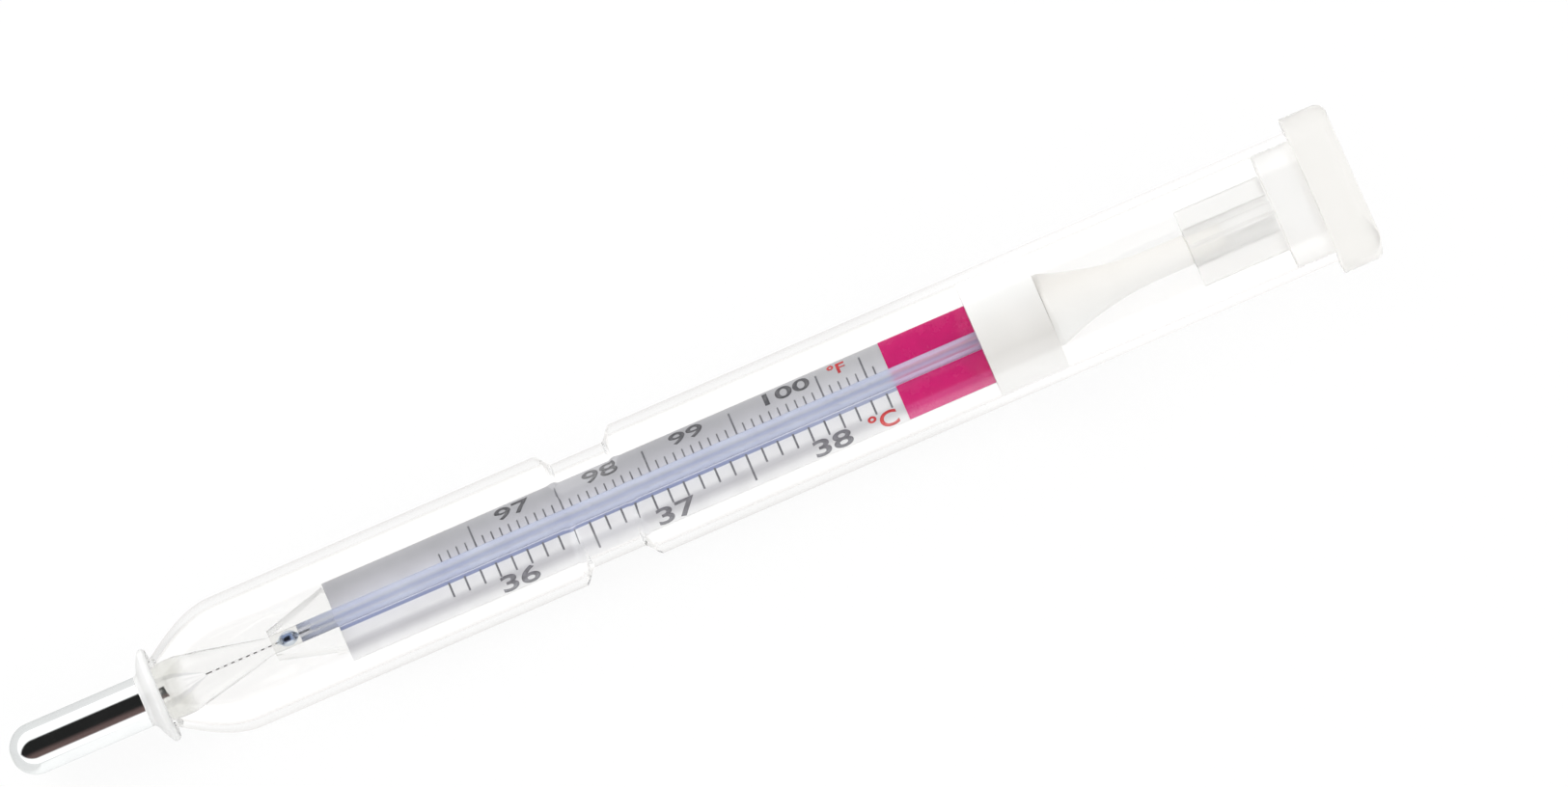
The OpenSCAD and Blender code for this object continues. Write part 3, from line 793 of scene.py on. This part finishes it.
section = dShape(*[capillarySet[label] for label in ("radius", "flat", "edge", "arcSteps")])
count = len(section)
verts, faces = [], []
for s in (capillarySet["start"], capillarySet["end"]):
    verts += [(station(s), y * mm, axisZ + z * mm) for y, z in section]
bore, relief = capillarySet["bore"], capillarySet["relief"]
reliefTip = arcPoints(capillarySet["reliefEnd"] - relief, 0.0, relief, 90, 0, capillarySet["reliefSteps"])
borePath = [(capillarySet["start"], bore), (capillarySet["reliefStart"], bore),
            (capillarySet["reliefStart"], relief)] + reliefTip[:-1]
angles = [math.atan2(z, y) for y, z in section]
for s, r in borePath:
    verts += [(station(s), r * mm * math.cos(a), axisZ + r * mm * math.sin(a)) for a in angles]
tipVertex = len(verts)
lastRing = tipVertex - count
verts.append((station(capillarySet["reliefEnd"]), 0.0, axisZ))
for k in range(count):
    n = (k + 1) % count
    faces.append((k, n, count + n, count + k))  # outside
    faces.append((k, 2 * count + k, 2 * count + n, n))  # open end, at the stem
    for one in range(2 * count, lastRing, count):
        faces.append((one + k, one + count + k, one + count + n, one + n))
    faces.append((lastRing + k, tipVertex, lastRing + n))
faces.append(tuple(range(count, 2 * count)))
capillary = faceOutward(makePiece("capillaryTube", verts, faces, capillaryGlass))
seat(capillary, "capillary_glass", "capillary_tube")
softCopy("capillary_backing", "capillaryBacking", backingEnamel, "backing_enamel", width=0.03, segments=2)

threadSet = {"radius": 0.22, "start": 27.1, "columnEnd": 27.28, "indexStart": 27.3, "indexEnd": 28.3,
             "turns": 40, "columnSteps": 8, "tipSteps": 12}
columnLength = threadSet["columnEnd"] - threadSet["start"]
columnPath = [(threadSet["start"] + columnLength * k / threadSet["columnSteps"], threadSet["radius"])
              for k in range(threadSet["columnSteps"] + 1)]
column = lathe("mercuryColumn", toAxis(columnPath), mercuryMetal, turns=threadSet["turns"])
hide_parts("mercury_column")
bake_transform(column)
indexFoot = [(threadSet["indexStart"], 0.0), (threadSet["indexStart"], threadSet["radius"])]
indexTip = arcPoints(threadSet["indexEnd"] - threadSet["radius"], 0.0, threadSet["radius"], 90, 0,
                     threadSet["tipSteps"])
index = lathe("mercuryIndex", indexFoot + indexTip, mercuryMetal, turns=threadSet["turns"])
seat(index, "mercury", "mercury_index", body="mercury_top")
print("capillary and thread made")


# Scale plate: a painted grey reflection above the capillary, pale below it with a band of painted shade, with
# its saddle and lacquer blocks
plateShadeSet = {  # places across the plate, in mm from the axis, with the tone there: a painted reflection greying towards +Y, a dark blue line of painted shade under the capillary, then towards -Y a grey band of painted shade and a paler edge of painted reflection
    "tones": [(-3.9, (0.92, 0.92, 0.93)), (-3.3, (0.80, 0.80, 0.825)), (-2.7, (0.61, 0.61, 0.645)),
              (-2.35, (0.66, 0.66, 0.695)), (-1.95, (0.87, 0.87, 0.895)), (-1.05, (0.88, 0.88, 0.905)),
              (-0.99, (0.30, 0.34, 0.53)), (-0.79, (0.33, 0.37, 0.56)), (-0.72, (0.78, 0.79, 0.88)),
              (0.8, (0.70, 0.70, 0.775)), (1.5, (0.59, 0.59, 0.635)), (2.4, (0.48, 0.48, 0.515)),
              (2.9, (0.455, 0.455, 0.485)), (3.55, (0.50, 0.50, 0.525))],
    "grain": 0.94, "grainScale": 420.0, "paleReach": (66.0, 80.0), "pale": 0.15,
}


def plateTones(tree, coords):  # paler towards the upper end of the scale
    pale = addReach(tree, addSplit(tree, coords)[0], plateShadeSet["paleReach"], 0.0, plateShadeSet["pale"])
    return addMix(tree, pale, acrossTones(plateShadeSet)(tree, coords), grey(1.0))


plateMetal = makeFinish("plateMetal", plateTones, rough=(0.32, 0.5), bump=0.003, metallic=0.1)
softCopy("scale_plate", "scalePlate", plateMetal, "plate_metal", width=0.06, segments=2)
softCopy("plate_saddle", "plateSaddle", saddlePlastic, "saddle_clear", width=0.12)
softCopy("colour_blocks", "colourBlocks", magentaLacquer, "block_lacquer", width=0.015, segments=2)
softCopy("plate_plug", "platePlug", plugPlastic, "plug_white", width=0.14)
print("plate, saddle, blocks and plug made")


# Printed ticks: one row of bars for each scale
tickSizes = ("Base", "Short", "Long", "Width", "Long Width")
tree, keys, given = newTree("tickRow", ["Count", "Long Every", "Long First", "Extra Long"],
                            ["First", "Pitch", *tickSizes, "Thick", "Level", "Side"], "Ink")
line = tree.nodes.new("GeometryNodeMeshLine")
feedAll(tree, line, {"Count": given["Count"], "Offset": addVector(tree, given["Pitch"]),
                     "Start Location": addVector(tree, given["First"], given["Base"], given["Level"])})
bar = tree.nodes.new("GeometryNodeMeshCube")
shift = tree.nodes.new("GeometryNodeTransform")
foot = addVector(tree, 0.0, calc("MULTIPLY", given["Side"], 0.5), 0.5)
feedAll(tree, shift, {"Geometry": bar.outputs["Mesh"], "Translation": foot})
number = tree.nodes.new("GeometryNodeInputIndex").outputs[0]
beat = calc("FLOORED_MODULO", calc("SUBTRACT", number, given["Long First"]), given["Long Every"])
isLong = calc("MAXIMUM", calc("LESS_THAN", beat, 0.5), calc("COMPARE", number, given["Extra Long"], 0.5))
width, length = [calc("MULTIPLY_ADD", isLong, calc("SUBTRACT", given[big], given[small]), given[small])
                 for small, big in (("Width", "Long Width"), ("Short", "Long"))]
spread = tree.nodes.new("GeometryNodeInstanceOnPoints")
feedAll(tree, spread, {"Points": line.outputs[0], "Instance": shift.outputs[0],
                       "Scale": addVector(tree, width, length, given["Thick"])})
endTree(tree, spread.outputs[0], given["Ink"])

# Stations of the degrees: 36 degrees Celsius lies at one station, and each degree takes one step
scaleSet = {"station36": 46.57, "degree": 14.71, "inkThick": 0.012, "inkLift": 0.002, "tick": 0.1,
            "longEvery": 10, "celsiusFirst": 35.6, "fahrenheitFirst": 96.1}


def celsiusStation(t):
    return station(scaleSet["station36"] + scaleSet["degree"] * (t - 36.0))


def fahrenheitStation(t):
    return celsiusStation((t - 32.0) / 1.8)


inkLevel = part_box("scale_plate")[1].z + scaleSet["inkLift"] * mm
celsiusSet = {"Count": 29, "Long First": 9, "Extra Long": -1, "Side": -1.0, "Base": -0.90, "Short": 1.38,
              "Long": 2.5, "Width": 0.18, "Long Width": 0.19}
fahrenheitSet = {"Count": 51, "Long First": 4, "Extra Long": 49, "Side": 1.0, "Base": 0.62, "Short": 1.12,
                 "Long": 2.4, "Width": 0.14, "Long Width": 0.17}
for scale, rowSet, where in (("celsius", celsiusSet, celsiusStation),
                             ("fahrenheit", fahrenheitSet, fahrenheitStation)):
    first = scaleSet[scale + "First"]
    sizes = {label: rowSet[label] * mm for label in tickSizes}
    ticks = runTree(scale + "Ticks", tree, keys, {
        **rowSet, **sizes, "Long Every": scaleSet["longEvery"], "First": where(first),
        "Pitch": where(first + scaleSet["tick"]) - where(first), "Thick": scaleSet["inkThick"] * mm,
        "Level": inkLevel, "Ink": greyInk})
    seat(ticks, "plate_metal")
print("ticks printed")


# Printed figures: place across and height in mm, stretch and weight; a sign has its text and station first
figureSet = {"celsius": (-3.05, 1.5, 1.85, 0.02), "fahrenheit": (2.8, 1.1, 2.2, 0.018), "hundredShift": 1.3,
             "curveSteps": 6, "weld": 1e-5}
signSet = {"celsiusSign": ("°C", 80.75, -3.0, 1.5, 1.3, 0.02),
           "fahrenheitSign": ("°F", 78.75, 2.85, 1.0, 1.5, 0.02)}


def inkText(text, middleX, middleY, height, stretch, weight):  # made a mesh before it is put in its place
    curve = bpy.data.curves.new("figure", "FONT")
    curve.body = text
    curve.align_x = "CENTER"
    curve.align_y = "CENTER"
    curve.offset = weight
    curve.resolution_u = figureSet["curveSteps"]
    holder = addObject("figure", curve)
    flatMesh = plainMesh(holder)
    bpy.data.objects.remove(holder)
    bpy.data.curves.remove(curve)
    xs = [v.co.x for v in flatMesh.vertices]
    ys = [v.co.y for v in flatMesh.vertices]
    scale = height * mm / (max(ys) - min(ys))
    mesh = bmesh.new()
    mesh.from_mesh(flatMesh)
    bpy.data.meshes.remove(flatMesh)
    bmesh.ops.remove_doubles(mesh, verts=mesh.verts, dist=figureSet["weld"])
    for v in mesh.verts:
        v.co = Vector(((v.co.x - (max(xs) + min(xs)) / 2) * scale * stretch + middleX,
                       (v.co.y - (max(ys) + min(ys)) / 2) * scale + middleY * mm, inkLevel))
    top = bmesh.ops.extrude_face_region(mesh, geom=list(mesh.faces))
    for v in [g for g in top["geom"] if isinstance(g, bmesh.types.BMVert)]:
        v.co.z += scaleSet["inkThick"] * mm
    bmesh.ops.recalc_face_normals(mesh, faces=mesh.faces)
    return mesh


def printFigures(name, figures, ink):
    whole = bmesh.new()
    for figure in figures:
        mesh = inkText(*figure)
        data = bpy.data.meshes.new("figure")
        mesh.to_mesh(data)
        mesh.free()
        whole.from_mesh(data)
        bpy.data.meshes.remove(data)
    data = bpy.data.meshes.new(name)
    whole.to_mesh(data)
    whole.free()
    data.materials.append(ink)
    seat(addObject(name, data), "plate_metal")


celsius = [(str(t), celsiusStation(t), *figureSet["celsius"]) for t in (36, 37, 38)]
printFigures("celsiusFigures", celsius, greyInk)
fahrenheit = []
for t in (97, 98, 99, 100):
    shift = figureSet["hundredShift"] * mm if t == 100 else 0.0
    fahrenheit.append((str(t), fahrenheitStation(t) + shift, *figureSet["fahrenheit"]))
printFigures("fahrenheitFigures", fahrenheit, darkInk)
for name, (text, s, *look) in signSet.items():
    printFigures(name, [(text, station(s), *look)], redInk)
print("figures printed")


# Moulded stem and stopper at the upper end
rodSet = {"start": 97.32, "rim": 0.5, "foot": 3.3, "flare": 10.0, "rod": 1.35, "end": 110.78, "spigot": 1.0,
          "spigotEnd": 114.0, "flareSteps": 32, "footRound": 0.06, "rimRound": 0.2, "endRound": 0.15,
          "spigotRound": 0.1, "tipRound": 0.25}
rise = rodSet["foot"] - rodSet["rod"]
hollow = (rodSet["flare"] ** 2 + rise ** 2) / (2 * rise)
flareStart = rodSet["start"] + rodSet["rim"]
flareEnd = flareStart + rodSet["flare"]
flare = []
for k in range(rodSet["flareSteps"] + 1):
    s = flareStart + rodSet["flare"] * k / rodSet["flareSteps"]
    flare.append((s, rodSet["rod"] + hollow - math.sqrt(hollow ** 2 - (flareEnd - s) ** 2)))
footPath = cornerArc([
    (rodSet["start"], 0.0, 0.0), (rodSet["start"], rodSet["foot"], rodSet["footRound"]),
    (flareStart, rodSet["foot"], rodSet["rimRound"]), (*flare[1], 0.0)])
spigotPath = cornerArc([
    (*flare[-1], 0.0), (rodSet["end"], rodSet["rod"], rodSet["endRound"]),
    (rodSet["end"], rodSet["spigot"], rodSet["spigotRound"]),
    (rodSet["spigotEnd"], rodSet["spigot"], rodSet["tipRound"]), (rodSet["spigotEnd"], 0.0, 0.0)])
rod = lathe("stopperStem", footPath[:-1] + flare[1:] + spigotPath[1:], stemPlastic)
seat(rod, "stem_plastic", "stopper_stem")
softCopy("end_stopper", "endStopper", stopperPlastic, "stopper_clear", width=0.18)
print("stem and stopper made")


# Floor, light and surroundings: pale all round, with a dim ceiling that the bright metal mirrors
floorSet = {"side": 3.0, "drop": 0.02, "white": 0.9, "drift": 0.01, "toneScale": 40.0, "rough": 0.7,
            "glow": 0.9, "glassGain": 0.13}
mirrorSet = {  # levels of the floor as metal and glass mirror it: far and near side, bulb, cap
    "far": 0.95, "near": 0.97, "bulbFar": 0.79, "bulbNear": 1.05, "cap": 1.08, "tipReach": (-2.5, 1.0),
    "bulbReach": (12.0, 16.0), "capReach": (80.0, 98.0), "sides": (-3.0, 3.0)}
skySet = {"ambient": 0.85, "sky": 1.2, "ceiling": (0.018, 0.018, 0.018), "fringe": (0.14, 0.095, 0.09),
          "fringeSpan": (-0.1, -0.55), "tilt": 12.0, "spread": 1.4, "edge": (0.08, 0.36),
          "length": (0.34, 0.5)}
lampSet = {  # place and size in metres, power in watts
    "keySoftbox": ((-0.25, 0.32, 0.42), (0.45, 0.35), 1.5),
    "fillSoftbox": ((0.3, -0.4, 0.25), (0.5, 0.3), 0.6)}


# A ray from the camera, straight or by way of metal and glass; a mirrored ray; a ray through glass
def addSeen(tree):
    path = tree.nodes.new("ShaderNodeLightPath").outputs
    bent = addMath(tree, "MAXIMUM", path["Is Glossy Ray"], path["Is Transmission Ray"])
    return (addMath(tree, "MAXIMUM", path["Is Camera Ray"], bent),
            addMath(tree, "MINIMUM", path["Glossy Depth"], 1.0), path["Is Transmission Ray"])


floorMat, tree, shader, coords = startFinish("paleFloor")
white, offWhite = (floorSet["white"],) * 3, (floorSet["white"] - floorSet["drift"],) * 3
feedAll(tree, shader, {"Roughness": floorSet["rough"],
                       "Base Color": addDrift(tree, coords, floorSet["toneScale"], white, offWhite)})
seen, mirrored, through = addSeen(tree)
along, aside = addSplit(tree, coords)[:2]
nearLevel = addReach(tree, along, mirrorSet["bulbReach"], mirrorSet["bulbNear"], mirrorSet["near"])
farLevel = addReach(tree, along, mirrorSet["bulbReach"], mirrorSet["bulbFar"], mirrorSet["far"])
level = addSpan(tree, aside, mirrorSet["sides"], nearLevel, farLevel)
level = addReach(tree, along, mirrorSet["capReach"], level, mirrorSet["cap"])
level = addReach(tree, along, mirrorSet["tipReach"], mirrorSet["bulbFar"], level)
straight = addMath(tree, "MULTIPLY_ADD", through, floorSet["glassGain"], 1.0)
glow = tree.nodes.new("ShaderNodeEmission")
feed(tree, glow.inputs["Strength"], addRange(tree, mirrored, 0.0, 1.0, straight, level, smooth=False))
mixSurface(tree, addMath(tree, "MULTIPLY", seen, floorSet["glow"]), shader, glow)
half = floorSet["side"] / 2
corners = [(x * half, y * half, -floorSet["drop"] * mm) for x, y in ((-1, -1), (1, -1), (1, 1), (-1, 1))]
floor = makePiece("floor", corners, [(0, 1, 2, 3)], floorMat, smooth=False)

world = bpy.data.worlds.new("surroundings")
scene.world = world
world.use_nodes = True
tree = world.node_tree
direction = addSplit(tree, tree.nodes.new("ShaderNodeTexCoord").outputs["Generated"])
tilt = math.radians(skySet["tilt"])
upward = calc("MULTIPLY_ADD", direction[1], -math.sin(tilt), calc("MULTIPLY", direction[2], math.cos(tilt)))
aside = calc("MULTIPLY_ADD", direction[1], math.cos(tilt), calc("MULTIPLY", direction[2], math.sin(tilt)))
across = calc("SUBTRACT", calc("MULTIPLY", upward, skySet["spread"]), calc("ABSOLUTE", aside))
lengthwise = addRange(tree, direction[0], *skySet["length"], 1.0, 0.0)
seen, mirrored = addSeen(tree)[:2]
overhead = calc("MULTIPLY", addRange(tree, across, *skySet["edge"]), calc("MULTIPLY", lengthwise, mirrored))
fringe = addRange(tree, aside, *skySet["fringeSpan"])
ceiling = addMix(tree, fringe, opaque(skySet["ceiling"]), opaque(skySet["fringe"]))
shown = addMix(tree, overhead, grey(skySet["sky"]), ceiling)
feed(tree, tree.nodes["Background"].inputs["Color"], addMix(tree, seen, grey(skySet["ambient"]), shown))
scene.cycles.max_bounces = 32  # light runs a long way inside the glass walls
scene.cycles.glossy_bounces = scene.cycles.transmission_bounces = 24

for name, (where, size, power) in lampSet.items():
    lamp = bpy.data.lights.new(name, "AREA")
    lamp.shape = "RECTANGLE"
    lamp.size, lamp.size_y = size
    lamp.energy = power
    holder = addObject(name, lamp)
    holder.location = where
    holder.rotation_euler = (aim - Vector(where)).to_track_quat("-Z", "Y").to_euler()
    holder.visible_glossy = holder.visible_transmission = False
print("stage lit")
